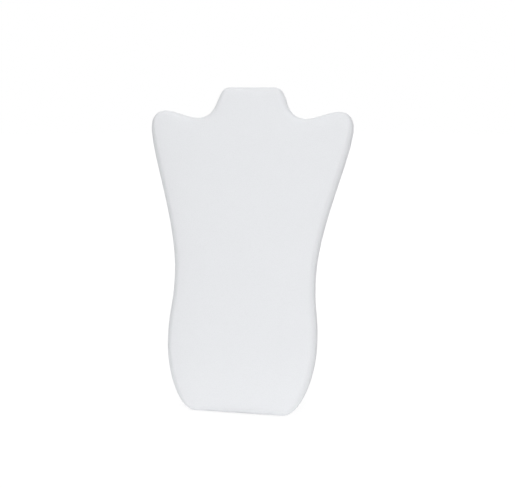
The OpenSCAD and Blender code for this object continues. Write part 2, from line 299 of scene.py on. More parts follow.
@dataclass(frozen=True)
class Leatherette(Finish):
    """Smooth coated cloth with a fine, shallow grain."""

    grain: float = 0.75 * MM
    grain_depth: float = 0.045 * MM
    crease_depth: float = 0.4 * MM
    roughness: float = 0.46
    bend_scale: float = 420.0
    cloud_scale: float = 260.0
    fine_scale: float = 5200.0
    wander_scale: float = 150.0
    blotch_scale: float = 22.0

    def relief(self, sheet: NodeSheet, place: Socket) -> Signal:
        """Builds the grain: rounded pebbles of bent cells, creases between larger ones and a fine tooth.

        Args:
            sheet: The material's sheet.
            place: The point's place on the object.

        Returns:
            The relief's height, from 0 to 1.
        """
        spread = sheet.node("ShaderNodeTexNoise", {"Vector": place, "Scale": self.bend_scale, "Detail": 1.0})
        inputs = {0: spread.outputs[1], 1: (self.grain * 0.9,) * 3, 2: place}
        bent = sheet.node("ShaderNodeVectorMath", inputs, operation="MULTIPLY_ADD").outputs[0]
        pebbles = sheet.cells(bent, 1.0 / self.grain).between(0.1, 0.62)
        creases = sheet.cells(bent, 0.37 / self.grain, "DISTANCE_TO_EDGE").between(0.0, 0.16)
        return 0.62 * (1.0 - pebbles) + 0.18 * creases + 0.2 * sheet.noise(place, self.fine_scale)

    def dress(self, sheet: NodeSheet) -> None:
        """Builds the grain with painted shade in its hollows, its soft sheen, the hem's creases with painted
        shade along them and the faint unevenness of the colour.

        Args:
            sheet: The material's sheet.
        """
        place = sheet.place()
        relief = self.relief(sheet, place)
        chart = sheet.node("ShaderNodeUVMap", uv_map="along_edge").outputs[0]
        along = Signal(sheet, sheet.node("ShaderNodeSeparateXYZ", {0: chart}).outputs[0])
        gathered = Signal(sheet, sheet.node("ShaderNodeAttribute", attribute_name="gathered").outputs["Fac"])
        wander = 0.3 * (sheet.noise(place, self.wander_scale, 1.0) - 0.5)
        fold = ((along + wander) * math.pi).wave().size()
        # Painted shade: the base colour is darkened along the valleys of the hem's pleats.
        pleat_crease_shade = gathered * (1.0 - fold).between(0.6, 0.95)
        blotch = sheet.noise(place, self.blotch_scale, 3.0).between(0.3, 0.7)
        tint = sheet.mix(blotch, self.tone(0.992), self.tone())
        # Painted shade: the grain's hollows are made a little darker.
        grain_hollow_shaded = sheet.mix(relief.between(0.1, 0.5), self.tone(0.965), tint)
        creased = sheet.bump(gathered * fold**0.6, self.crease_depth)
        sheet.surface(
            Base_Color=sheet.mix(0.7 * pleat_crease_shade, grain_hollow_shaded, self.tone(0.72)),
            Roughness=self.roughness + 0.1 * (1.0 - relief) + 0.05 * sheet.noise(place, self.cloud_scale),
            Normal=sheet.bump(relief, self.grain_depth, Strength=0.8, Normal=creased),
            IOR=1.47,
        )


@dataclass(frozen=True)
class FlockedLining(Finish):
    """Thin cloth with a short nap, which lies one way in one patch and another way in the next."""

    fibre: float = 0.45 * MM
    nap_depth: float = 0.12 * MM
    patch_scale: float = 42.0
    cloud_scale: float = 260.0
    stray_scales: Triple = (2600.0, 240.0, 240.0)

    def dress(self, sheet: NodeSheet) -> None:
        """Builds the nap with painted shade in its hollows, the patches that it is brushed in and the loose
        fibres on it.

        Args:
            sheet: The material's sheet.
        """
        place = sheet.place()
        thin, long = 1.0 / self.fibre, 0.22 / self.fibre
        fibres = sheet.noise(place, thin, 4.0, 0.65)
        one_way = sheet.streaks((0.0, 0.3, 0.5), (thin, long, long), 3.0, 0.6)
        other_way = sheet.streaks((0.0, -0.4, -0.9), (thin, long, long), 3.0, 0.6)
        patches = sheet.noise(place, self.patch_scale, 4.0, 0.6).between(0.4, 0.6)
        clouds = sheet.noise(place, self.cloud_scale, 3.0, 0.6).between(0.3, 0.7)
        relief = 0.5 * fibres + 0.5 * (patches * one_way + (1.0 - patches) * other_way)
        stray = sheet.streaks((0.3, 0.2, 1.2), self.stray_scales, 1.0).between(0.71, 0.76)
        brushed = sheet.mix(0.6 * patches + 0.4 * clouds, self.tone(0.91), self.tone())
        # Painted shade: the nap's hollows are made darker.
        deep = sheet.mix(relief.between(0.34, 0.58), self.tone(0.76), brushed)
        sheet.surface(
            Base_Color=sheet.mix(stray, deep, self.tone(1.06)),
            Roughness=0.9 + 0.08 * fibres,
            Normal=sheet.bump(relief + 0.4 * stray, self.nap_depth),
            Sheen_Weight=0.25,
            Sheen_Roughness=0.4,
            Specular_IOR_Level=0.2,
        )


@dataclass(frozen=True)
class NickelPlate(Finish):
    """Nickel plate with fine lines from its polishing wheel."""

    roughness: float = 0.2
    line_pitch: float = 0.16 * MM
    line_depth: float = 0.004 * MM
    line_scale: float = 70.0
    mark_scales: Triple = (300.0, 6000.0, 300.0)
    tarnish_scale: float = 90.0
    shade_and_grime_reach: float = 0.7 * MM

    def dress(self, sheet: NodeSheet) -> None:
        """Builds the polishing lines, handling marks, a faint cast of tarnish, and painted shade with grime
        in the crevices.

        Args:
            sheet: The material's sheet.
        """
        lines = sheet.streaks((0, 0, 0), (self.line_scale, 1.0 / self.line_pitch, 1.0 / self.line_pitch))
        marks = sheet.streaks((0.4, 0.2, 0.9), self.mark_scales, 1.0).between(0.66, 0.72)
        tarnish = sheet.noise(sheet.place(), self.tarnish_scale, 3.0).between(0.3, 0.8)
        warm = sheet.mix(tarnish, self.tone(), self.tone(0.96, (1.0, 0.985, 0.95)))
        lined = sheet.mix(lines.between(0.35, 0.65), self.tone(0.93), warm)
        # Painted shade with grime: the colour darkens almost to black where nearby surfaces occlude the
        # metal.
        shade_and_grime = sheet.crevices(self.shade_and_grime_reach).between(0.3, 0.95)
        sheet.surface(
            Base_Color=sheet.mix(shade_and_grime, lined, self.tone(0.2, (1.0, 0.95, 0.9))),
            Metallic=1.0,
            Roughness=self.roughness + 0.2 * lines + 0.04 * tarnish + 0.06 * marks + 0.3 * shade_and_grime,
            Normal=sheet.bump(lines - 0.5 * marks, self.line_depth),
        )


@dataclass(frozen=True)
class SatinRibbon(Finish):
    """Woven ribbon with long floats along it and a firm selvedge on either side."""

    width: float = 10 * MM
    yarn: float = 0.34 * MM
    yarn_depth: float = 0.05 * MM
    selvedge: float = 0.43

    def dress(self, sheet: NodeSheet) -> None:
        """Builds the yarns and selvedges from the ribbon's own map, which is in widths, with painted shade in
        the weave's hollows.

        Args:
            sheet: The material's sheet.
        """
        chart = sheet.node("ShaderNodeTexCoord").outputs["UV"]
        split = sheet.node("ShaderNodeSeparateXYZ", {0: chart}).outputs
        across, along = Signal(sheet, split[0]), Signal(sheet, split[1])
        turns = 2 * math.pi * self.width / self.yarn
        yarns = 0.5 + 0.5 * (across * turns).wave()
        picks = 0.5 + 0.5 * (along * turns * 0.5 + across * turns * 0.4).wave()
        loops = 0.5 + 0.5 * (along * turns * 0.35).wave()
        off_middle = (across - 0.5).size()
        edge = off_middle.between(self.selvedge, self.selvedge + 0.02)
        seam = 1.0 - (off_middle - self.selvedge).size().between(0.0, 0.012)
        relief = (1.0 - edge) * (0.7 * yarns + 0.3 * picks) + edge * (0.7 + 0.5 * loops) - 0.5 * seam
        sheet.surface(
            # Painted shade: the weave's hollows and the groove beside each selvedge are made darker.
            Base_Color=sheet.mix(relief.between(0.0, 0.5), self.tone(0.8), self.tone()),
            Roughness=0.34 + 0.2 * picks + 0.2 * edge,
            Normal=sheet.bump(relief, self.yarn_depth),
            Anisotropic=0.5,
            Sheen_Weight=0.2,
        )


@dataclass(frozen=True)
class ClipWire(Finish):
    """Bright drawn steel wire, rolled flat."""

    line_scales: Triple = (200.0, 12000.0, 12000.0)
    line_depth: float = 0.003 * MM
    dull_scale: float = 900.0

    def dress(self, sheet: NodeSheet) -> None:
        """Builds the drawing lines along the wire.

        Args:
            sheet: The material's sheet.
        """
        lines = sheet.streaks((0, 0, 0), self.line_scales)
        dull = sheet.noise(sheet.place(), self.dull_scale, 3.0).between(0.4, 0.8)
        sheet.surface(
            Base_Color=sheet.mix(dull, self.tone(), self.tone(0.8)),
            Metallic=1.0,
            Roughness=0.28 + 0.12 * lines + 0.15 * dull,
            Normal=sheet.bump(lines, self.line_depth),
        )


@dataclass(frozen=True)
class Foam(Finish):
    """Open foam, seen only when the cover is taken off."""

    pore: float = 0.9 * MM
    pore_depth: float = 0.25 * MM
    yellow_scale: float = 18.0

    def dress(self, sheet: NodeSheet) -> None:
        """Builds the pores, with painted shade that makes them darker inside.

        Args:
            sheet: The material's sheet.
        """
        place = sheet.place()
        pores, small = (sheet.cells(place, scale / self.pore).between(0.15, 0.6) for scale in (1.0, 2.6))
        relief = 0.7 * pores + 0.3 * small
        yellowed = sheet.noise(place, self.yellow_scale, 3.0)
        tint = sheet.mix(yellowed, self.tone(), self.tone(1.0, (1.0, 0.96, 0.85)))
        sheet.surface(
            # Painted shade: the pores are darkened inside.
            Base_Color=sheet.mix(relief, self.tone(0.62), tint),
            Roughness=0.9 + 0.08 * small,
            Normal=sheet.bump(relief, self.pore_depth),
            Specular_IOR_Level=0.2,
        )


@dataclass(frozen=True)
class Fibreboard(Finish):
    """Pressed wood fibre."""

    fibre_scales: Triple = (600.0, 2600.0, 900.0)
    crossed_scales: Triple = (2400.0, 500.0, 900.0)
    fleck_scale: float = 700.0
    fibre_depth: float = 0.04 * MM

    def dress(self, sheet: NodeSheet) -> None:
        """Builds matted fibres and darker flecks.

        Args:
            sheet: The material's sheet.
        """
        fibres = sheet.streaks((0.2, 0.5, 0.9), self.fibre_scales, 4.0, 0.65)
        crossed = sheet.streaks((1.1, 0.2, 0.3), self.crossed_scales, 4.0, 0.65)
        flecks = sheet.cells(sheet.place(), self.fleck_scale).between(0.02, 0.14)
        relief = 0.5 * fibres + 0.5 * crossed
        tint = sheet.mix(relief.between(0.3, 0.7), self.tone(0.72), self.tone(1.12))
        sheet.surface(
            Base_Color=sheet.mix(flecks, self.tone(0.55), tint),
            Roughness=0.78 + 0.15 * relief,
            Normal=sheet.bump(relief, self.fibre_depth),
        )


@dataclass(frozen=True)
class GreyCard(Finish):
    """Grey card made of pulped paper."""

    cloud_scale: float = 120.0
    stray_scales: Triple = (400.0, 4200.0, 700.0)
    pulp_depth: float = 0.03 * MM

    def dress(self, sheet: NodeSheet) -> None:
        """Builds the clouded pulp and its stray fibres.

        Args:
            sheet: The material's sheet.
        """
        cloud = sheet.noise(sheet.place(), self.cloud_scale, 5.0, 0.6)
        stray = sheet.streaks((0.6, 0.4, 0.2), self.stray_scales).between(0.62, 0.7)
        tint = sheet.mix(cloud.between(0.3, 0.7), self.tone(0.9), self.tone(1.06))
        sheet.surface(
            Base_Color=sheet.mix(stray, tint, self.tone(0.7)),
            Roughness=0.86 + 0.1 * cloud,
            Normal=sheet.bump(0.7 * cloud + 0.3 * stray, self.pulp_depth),
        )


@dataclass(frozen=True)
class StudioTable(Finish):
    """A table that shows white with the stand's soft shadow, gives back plain light, and glows in a ring to
    add painted bounce light on the stand.

    Attributes:
        shade_reach: Where the shadow starts to fade and where it has gone, from the middle.
        shade_grey: The part of the white near the stand that its shadow can darken.
        shade_glow: The rest of that white.
        far_glow: The white beyond the shadow.
        bounce_glow: The glow of a ring of the table, painted bounce light that it adds to what it gives back
            to the stand.
        bounce_start: The span over which that ring starts.
        bounce_end: The span over which it ends.
    """

    shade_reach: tuple[float, float] = (0.25, 0.8)
    shade_grey: float = 0.26
    shade_glow: float = 0.83
    far_glow: float = 1.05
    bounce_glow: float = 0.24
    bounce_start: tuple[float, float] = (0.05, 0.09)
    bounce_end: tuple[float, float] = (0.1, 0.3)

    def dress(self, sheet: NodeSheet) -> None:
        """Builds what the camera is shown and what the stand is lit by.

        Args:
            sheet: The material's sheet.
        """
        spot = sheet.node("ShaderNodeVectorMath", {0: sheet.place()}, operation="LENGTH")
        off = Signal(sheet, spot.outputs["Value"])
        ring = off.between(*self.bounce_start) * (1.0 - off.between(*self.bounce_end))
        matt = sheet.node("ShaderNodeBsdfDiffuse", {"Color": self.tone()}).outputs[0]
        # Painted bounce light: to rays other than the camera's, a ring of the table glows.
        lit = sheet.either(ring, matt, sheet.glowing_matt(self.colour[0], self.bounce_glow))
        near = sheet.glowing_matt(self.shade_grey, self.shade_glow)
        shown = sheet.either(off.between(*self.shade_reach), near, sheet.glow(self.far_glow))
        sheet.node("ShaderNodeOutputMaterial", {"Surface": sheet.either(sheet.seen(), lit, shown)})


LEATHERETTE = Leatherette("white_leatherette", (0.834, 0.846, 0.868))
LINING = FlockedLining("white_flocked_lining", (0.83, 0.835, 0.85))
NICKEL = NickelPlate("satin_nickel", (0.7, 0.69, 0.67))
RIBBON = SatinRibbon("white_satin", (0.86, 0.86, 0.87))
CLIP = ClipWire("clip_wire", (0.7, 0.71, 0.73))
FOAM = Foam("open_foam", (0.86, 0.82, 0.68))
FIBREBOARD = Fibreboard("pressed_fibreboard", (0.36, 0.23, 0.13))
CARD = GreyCard("grey_card", (0.4, 0.385, 0.35))
TABLE = StudioTable("floor_white", (0.8, 0.8, 0.8))


# Working frames and outlines


@dataclass(frozen=True)
class WorkingFrames:
    """The board's and the strut's frames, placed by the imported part's hinge pin."""

    lean: float = math.radians(15)
    open_angle: float = math.radians(29)
    pin_up: float = 225 * MM
    pin_level: float = -4.9 * MM

    @property
    def board(self) -> Matrix:
        """Gives the board's frame.

        Returns:
            The matrix that takes (u, v, w) to the part's frame.
        """
        pin = Vector(frame["joints"][0]["pos_m"])
        turned = Matrix.Rotation(QUARTER - self.lean, 4, "X")
        return Matrix.Translation(pin - turned @ Vector((0, self.pin_up, self.pin_level))) @ turned

    @property
    def strut(self) -> Matrix:
        """The matrix that takes the strut's (x, y, z) to the part's frame."""
        pin = Matrix.Translation((0, self.pin_up, self.pin_level))
        return self.board @ pin @ Matrix.Rotation(self.open_angle, 4, "X")


FRAMES = WorkingFrames()


@dataclass(frozen=True)
class Ring:
    """A closed line round a flat piece, from the middle of its foot up its right side and down its left one.

    Attributes:
        points: The line's points, (n, 2).
        outward: Its outward normals, (n, 2).
        bend: The line's curvature at each point, positive where it is convex, (n,).
        middle: The point of the piece's middle line that each point faces, (n, 2).
    """

    points: Points
    outward: Points
    bend: Points
    middle: Points

    def tight(self, radius: float, evenings: int = 5) -> Points:
        """Gives how tightly the line turns outwards.

        Args:
            radius: The radius that counts as 1.
            evenings: How often each point's value is averaged with its neighbours'.

        Returns:
            A value from 0 to 1 for each point.
        """
        share = np.clip(self.bend * radius, 0.0, 1.0)
        for _ in range(evenings):
            share = (np.roll(share, 1) + 2 * share + np.roll(share, -1)) / 4
        return share

    def inset(self, depth: Union[float, Points], share: float = 0.0) -> Points:
        """Gives the line moved in by a depth, and then by a share of the way to the middle line."""
        moved = self.points - self.outward * np.reshape(depth, (-1, 1))
        return moved + (self.middle - moved) * share

    def depth_of(self, places: Points) -> tuple[Points, Points]:
        """Finds the nearest stretch of the line to each place.

        Args:
            places: The places, (m, 2).

        Returns:
            The distance of each place to the line, and the number of its nearest stretch.
        """
        step = np.roll(self.points, -1, axis=0) - self.points
        gap = places[:, None, :] - self.points[None]
        share = np.clip((gap * step).sum(2) / (step**2).sum(1), 0.0, 1.0)
        away = np.linalg.norm(gap - share[..., None] * step, axis=2)
        return away.min(1), away.argmin(1)


def runs(line: Points) -> Points:
    """Gives the distance of each of a line's points from the first, along the line."""
    return np.concatenate([[0.0], np.cumsum(np.linalg.norm(np.diff(line, axis=0), axis=1))])


def even_ring(half: Points, shares: Sequence[float], heights: Sequence[float], spacing: float) -> Ring:
    """Makes a ring of evenly spaced points from a dense right half.

    Args:
        half: The right half's points, from the middle of the foot to the middle of the top.
        shares: Shares of the half's length, rising from 0 to 1.
        heights: The heights on the middle line that the points there face.
        spacing: The distance between the ring's points.

    Returns:
        The ring.
    """
    run = runs(half)
    even = np.linspace(0.0, run[-1], int(round(run[-1] / spacing)) + 1)
    right = np.stack([np.interp(even, run, half[:, axis]) for axis in (0, 1)], axis=1)
    points = np.concatenate([right, right[-2:0:-1] * (-1.0, 1.0)])
    faced = np.interp(even / run[-1], shares, heights)
    faced = np.concatenate([faced, faced[-2:0:-1]])
    tangent = np.roll(points, -1, axis=0) - np.roll(points, 1, axis=0)
    tangent /= np.linalg.norm(tangent, axis=1)[:, None]
    outward = np.stack([tangent[:, 1], -tangent[:, 0]], axis=1)
    turn = np.roll(tangent, -1, axis=0) - np.roll(tangent, 1, axis=0)
    bend = -(turn * outward).sum(1) / (2 * even[1])
    return Ring(points, outward, bend, np.stack([np.zeros(len(points)), faced], axis=1))


@dataclass(frozen=True)
class BoardOutline:
    """The board's outline, as curves between stations where it runs level or upright.

    Attributes:
        faced: Shares of the height that the middle of the foot, the curves' ends and the middle of the top
            face on the middle line.
    """

    bottom_width: float = 91 * MM
    hip_width: float = 153 * MM
    hip_rise: float = 73 * MM
    waist_width: float = 145 * MM
    waist_rise: float = 63 * MM
    shoulder_width: float = 210 * MM
    shoulder_rise: float = 155 * MM
    peak_in: float = 15 * MM
    peak_rise: float = 16 * MM
    dip_drop: float = 7.5 * MM
    dip_out: float = 33.5 * MM
    neck_width: float = 47 * MM
    neck_rise: float = 32.2 * MM
    bottom_reach: float = 14.5 * MM
    hip_reaches: tuple[float, float] = (39 * MM, 32 * MM)
    waist_reaches: tuple[float, float] = (35 * MM, 55 * MM)
    shoulder_reaches: tuple[float, float] = (29 * MM, 9.7 * MM)
    peak_reaches: tuple[float, float] = (9.5 * MM, 9 * MM)
    dip_reaches: tuple[float, float] = (8 * MM, 26 * MM)
    neck_reach: float = 16.5 * MM
    faced: tuple[float, ...] = (0.13, 0.15, 0.26, 0.43, 0.73, 0.77, 0.83, 0.9)
    spacing: float = 3.1 * MM
    curve_steps: int = 160

    def curves(self) -> list[tuple[Points, Points, Points, Points]]:
        """Gives the right half's curves.

        Returns:
            The curves upwards, each as a start, its handle, the end's handle and the end.
        """
        upright, level = np.array([0.0, 1.0]), np.array([1.0, 0.0])
        bottom = np.array([self.bottom_width / 2, 0.0])
        hip = np.array([self.hip_width / 2, self.hip_rise])
        waist = np.array([self.waist_width / 2, hip[1] + self.waist_rise])
        shoulder = np.array([self.shoulder_width / 2, waist[1] + self.shoulder_rise])
        peak = shoulder + np.array([-self.peak_in, self.peak_rise])
        dip = np.array([self.neck_width / 2 + self.dip_out, peak[1] - self.dip_drop])
        neck = np.array([self.neck_width / 2, dip[1] + self.neck_rise])
        hip_down, hip_up = self.hip_reaches
        waist_down, waist_up = self.waist_reaches
        shoulder_down, shoulder_up = self.shoulder_reaches
        peak_out, peak_in = self.peak_reaches
        dip_out, dip_in = self.dip_reaches
        return [
            (bottom, bottom + level * self.bottom_reach, hip - upright * hip_down, hip),
            (hip, hip + upright * hip_up, waist - upright * waist_down, waist),
            (waist, waist + upright * waist_up, shoulder - upright * shoulder_down, shoulder),
            (shoulder, shoulder + upright * shoulder_up, peak + level * peak_out, peak),
            (peak, peak - level * peak_in, dip + level * dip_out, dip),
            (dip, dip - level * dip_in, neck + level * self.neck_reach, neck),
        ]

    def ring(self) -> Ring:
        """Gives the outline as a ring of evenly spaced points.

        Returns:
            The ring.
        """
        share = np.linspace(0.0, 1.0, self.curve_steps)[:, None]
        back = 1.0 - share
        half, ends = [np.zeros((1, 2))], [0]
        for a, b, c, d in self.curves():
            half.append(back**3 * a + 3 * back**2 * share * b + 3 * back * share**2 * c + share**3 * d)
            ends.append(ends[-1] + self.curve_steps)
        height = float(half[-1][-1][1])
        dense = np.concatenate([*half, [[0.0, height]]])
        run = runs(dense)
        shares = run[[*ends, -1]] / run[-1]
        fresh = np.concatenate([[True], np.diff(run) > 0])
        return even_ring(dense[fresh], shares, np.array(self.faced) * height, self.spacing)


@dataclass(frozen=True)
class StrutOutline:
    """The strut's outline: wider at its foot, with rounded corners.

    Attributes:
        top_gap: The distance of its top below the hinge pin.
        length: The distance of its foot below the hinge pin.
        shares: Shares of the way from the middle of the foot to the middle of the top.
        faced: Shares of the length, down from the pin, that those places face on the middle line.
    """

    top_width: float = 42 * MM
    foot_width: float = 68 * MM
    top_radius: float = 5 * MM
    foot_radius: float = 8 * MM
    top_gap: float = 3.4 * MM
    length: float = 223.642 * MM
    shares: tuple[float, ...] = (0.0, 0.16, 0.9, 1.0)
    faced: tuple[float, ...] = (0.93, 0.87, 0.13, 0.09)
    spacing: float = 1.6 * MM
    corner_steps: int = 40

    @property
    def slope(self) -> float:
        """How much each side leans out for its length."""
        return (self.foot_width - self.top_width) / 2 / (self.length - self.top_gap)

    def corner(self, radius: float, up: float, start: float, end: float) -> Points:
        """Gives the arc of a right-hand corner.

        Args:
            radius: The corner's radius.
            up: The height of its centre.
            start: The direction that the arc starts in from the centre (radians).
            end: The direction that it ends in.

        Returns:
            The arc's points, (n, 2).
        """
        turn = np.linspace(start, end, self.corner_steps)
        side = self.top_width / 2 + (-self.top_gap - up) * self.slope
        across = side - radius * math.hypot(1.0, self.slope)
        return np.stack([across + radius * np.cos(turn), up + radius * np.sin(turn)], axis=1)

    def ring(self) -> Ring:
        """Gives the outline as a ring of evenly spaced points.

        Returns:
            The ring.
        """
        taper = math.atan(self.slope)
        foot = self.corner(self.foot_radius, -self.length + self.foot_radius, -QUARTER, taper)
        top = self.corner(self.top_radius, -self.top_gap - self.top_radius, taper, QUARTER)
        half = np.concatenate([[[0.0, -self.length]], foot, top, [[0.0, -self.top_gap]]])
        return even_ring(half, self.shares, np.array(self.faced) * -self.length, self.spacing)


# Mesh helpers


@dataclass(frozen=True)
class Row:
    """One turn of a skin round a piece.

    Attributes:
        inset: Its depth in from the outline, for the whole turn or for each of its points.
        level: Its height, or a function that gives the heights of its places.
        share: How far it then goes from there to the middle line, from 0 to 1.
    """

    inset: Union[float, Points]
    level: Level
    share: float = 0.0


def flat(inset: Union[float, Points], level: Level, shares: Iterable[float]) -> list[Row]:
    """Gives the rows of a face, at shares of the way from an inset to the middle line."""
    return [Row(inset, level, share) for share in shares]


def rounded(inset: float, level: float, radius: float, turns: Iterable[float]) -> list[Row]:
    """Gives the rows of a rounded edge between a side and a face.

    Args:
        inset: The side's inset.
        level: The face's level.
        radius: The edge's radius, negative where the face is the upper one.
        turns: Angles round the edge, from 0 at the side to a quarter turn at the face.

    Returns:
        The rows, in the angles' order.
    """
    rows = []
    for turn in turns:
        into, off = abs(radius) * (1 - math.cos(turn)), radius * (1 - math.sin(turn))
        rows.append(Row(inset + into, level + off))
    return rows


def grow(mesh: Mesh, edges: Sequence[Edge]) -> tuple[list[Vertex], list[Edge]]:
    """Extrudes a line of edges, with the new line still on the old one.

    Args:
        mesh: The bmesh, whose vertices carry their order along the line in the layer "step".
        edges: The line's edges.

    Returns:
        The new line's vertices in order, and its edges.
    """
    step = mesh.verts.layers.int["step"]
    made = bmesh.ops.extrude_edge_only(mesh, edges=edges)["geom"]
    verts = [part for part in made if isinstance(part, Vertex)]
    line = set(verts)
    grown = [part for part in made if isinstance(part, Edge) and set(part.verts) <= line]
    return sorted(verts, key=lambda vert: vert[step]), grown


def skin(ring: Ring, rows: Sequence[Row], lift: Callable[[Points, Row], Points] | None = None) -> Mesh:
    """Grows a skin from a circle, row by row. It closes where a row lies on the middle line.

    Args:
        ring: The outline that the rows follow.
        rows: The rows in order.
        lift: A function of a row's points, (n, 3), and the row that gives them their last touch.

    Returns:
        A bmesh in the piece's working frame.
    """
    mesh = bmesh.new()
    step = mesh.verts.layers.int.new("step")
    turn = bmesh.ops.create_circle(mesh, cap_ends=False, segments=len(ring.points), radius=1.0)["verts"]
    for order, vertex in enumerate(turn):
        vertex[step] = order
    edges = mesh.edges[:]
    for number, row in enumerate(rows):
        if number:
            turn, edges = grow(mesh, edges)
        spots = ring.inset(row.inset, row.share)
        level = row.level(spots) if callable(row.level) else np.full(len(spots), row.level)
        places = np.concatenate([spots, level[:, None]], axis=1)
        if lift is not None:
            places = lift(places, row)
        for vertex, place in zip(turn, places):
            vertex.co = place
    bmesh.ops.remove_doubles(mesh, verts=mesh.verts[:], dist=WELD_GAP)
    bmesh.ops.dissolve_degenerate(mesh, edges=mesh.edges[:], dist=SHORTEST_EDGE)
    bmesh.ops.recalc_face_normals(mesh, faces=mesh.faces[:])
    if not any(edge.is_boundary for edge in mesh.edges) and mesh.calc_volume(signed=True) < 0:
        bmesh.ops.reverse_faces(mesh, faces=mesh.faces[:])
    return mesh


def add_object(name: str, data: bpy.types.ID) -> Object:
    """Adds an object to the scene, at the origin.

    Args:
        name: The object's name.
        data: Its mesh, light or camera.

    Returns:
        The object.
    """
    made = bpy.data.objects.new(name, data)
    bpy.context.scene.collection.objects.link(made)
    return made


def piece(name: str, mesh: Mesh, place: Matrix, finish: Finish) -> Object:
    """Puts a bmesh in place in the part's frame and makes it a smooth object.

    Args:
        name: The piece's name.
        mesh: The bmesh, in its working frame. It is freed.
        place: The matrix of that frame.
        finish: The finish of the whole piece.

    Returns:
        The new object, at the origin.
    """
    bmesh.ops.transform(mesh, matrix=place, verts=mesh.verts[:])
    for face in mesh.faces:
        face.smooth = True
    data = bpy.data.meshes.new(name)
    mesh.to_mesh(data)
    mesh.free()
    data.materials.append(finish.material())
    return add_object(name, data)


def thicken(made: Object, thick: float, offset: float) -> None:
    """Gives an open skin its thickness.

    Args:
        made: The skin.
        thick: The thickness.
        offset: Where it lies: -1 is inwards from the skin's faces, and 0 to both sides.
    """
    wall = made.modifiers.new("thickness", "SOLIDIFY")
    wall.thickness = thick
    wall.offset = offset


def smooth_out(made: Object) -> None:
    """Subdivides a piece once into a smooth surface."""
    finer = made.modifiers.new("smooth", "SUBSURF")
    finer.levels = finer.render_levels = 1


def coordinates(made: Object) -> Points:
    """Gives the places of an object's vertices.

    Args:
        made: The object.

    Returns:
        The places, (n, 3).
    """
    places = np.empty(len(made.data.vertices) * 3)
    made.data.vertices.foreach_get("co", places)
    return places.reshape(-1, 3)


@dataclass(frozen=True)
class Unevenness:
    """A smooth, random unevenness of a surface.

    Attributes:
        depth: Its height over the level surface.
        length: The length that it varies over.
        seed: The seed of its draw.
    """

    depth: float
    length: float
    seed: float = 0.0

    def at(self, places: Iterable[Sequence[float]]) -> Points:
        """Gives the heights at places in space, from about -depth to depth."""
        shift = Vector((self.seed, -self.seed, self.seed))
        return self.depth * np.array([noise.noise(Vector(place) / self.length + shift) for place in places])


@dataclass(frozen=True)
class FoamPress:
    """A short cloth run, in which the foam under a skin presses it out until it is taut.

    Attributes:
        pressure: The pressure under the skin.
        frames: The run's length in frames.
        most: The farthest that the skin may move out.
        least: The farthest that it may sink into the foam.
        grip: How soon a vertex that is nearly held keeps its whole move.
        evenings: How often each vertex's move is averaged with its neighbours'.
    """

    pressure: float = 4.0
    frames: int = 20
    most: float = 0.9 * MM
    least: float = 0.12 * MM
    grip: float = 4.0
    evenings: int = 6

    def pressed(self, made: Object, free: Points) -> Points:
        """Runs the cloth on a skin and takes it off again.

        Args:
            made: The skin.
            free: How freely each vertex moves, from 0, held, to 1.

        Returns:
            The places of the pressed skin's vertices, (n, 3).
        """
        held = made.vertex_groups.new(name="held")
        for index, share in enumerate(free):
            held.add([index], 1.0 - float(share), "REPLACE")
        cloth = made.modifiers.new("taut_skin", "CLOTH")
        cloth.settings.vertex_group_mass = held.name
        cloth.settings.use_pressure = True
        cloth.settings.uniform_pressure_force = self.pressure
        cloth.settings.effector_weights.gravity = 0.0
        cloth.point_cache.frame_end = self.frames
        for number in range(1, self.frames + 1):
            bpy.context.scene.frame_set(number)
        places = coordinates(made.evaluated_get(bpy.context.evaluated_depsgraph_get()))
        made.modifiers.remove(cloth)
        made.vertex_groups.remove(held)
        bpy.context.scene.frame_set(1)
        return places

    def run(self, made: Object, free: Points) -> None:
        """Presses a skin out and keeps the result in its mesh.

        Args:
            made: The skin, whose faces point away from the foam.
            free: How freely each vertex moves, from 0, held, to 1.
        """
        start = coordinates(made)
        moved = self.pressed(made, free) - start
        normals = np.array([vertex.normal for vertex in made.data.vertices])
        out = (moved * normals).sum(1)
        most = np.where(out > 0, self.most, self.least)
        kept = self.evened(made, most * np.tanh(out / most)) * np.minimum(self.grip * free, 1.0)
        made.data.vertices.foreach_set("co", (start + kept[:, None] * normals).ravel())
        made.data.update()
        LOG.info("%s was pressed out by up to %.2f mm", made.name, float(kept.max()) / MM)

    def evened(self, made: Object, values: Points) -> Points:
        """Averages a value of each vertex with its neighbours' a few times.

        Args:
            made: The skin.
            values: A value for each vertex.

        Returns:
            The evened values.
        """
        pairs = np.array([edge.vertices for edge in made.data.edges])
        for _ in range(self.evenings):
            total, count = values.copy(), np.ones(len(values))
            for near, far in (pairs.T, pairs.T[::-1]):
                np.add.at(total, near, values[far])
                np.add.at(count, near, 1.0)
            values = total / count
        return values


# The board


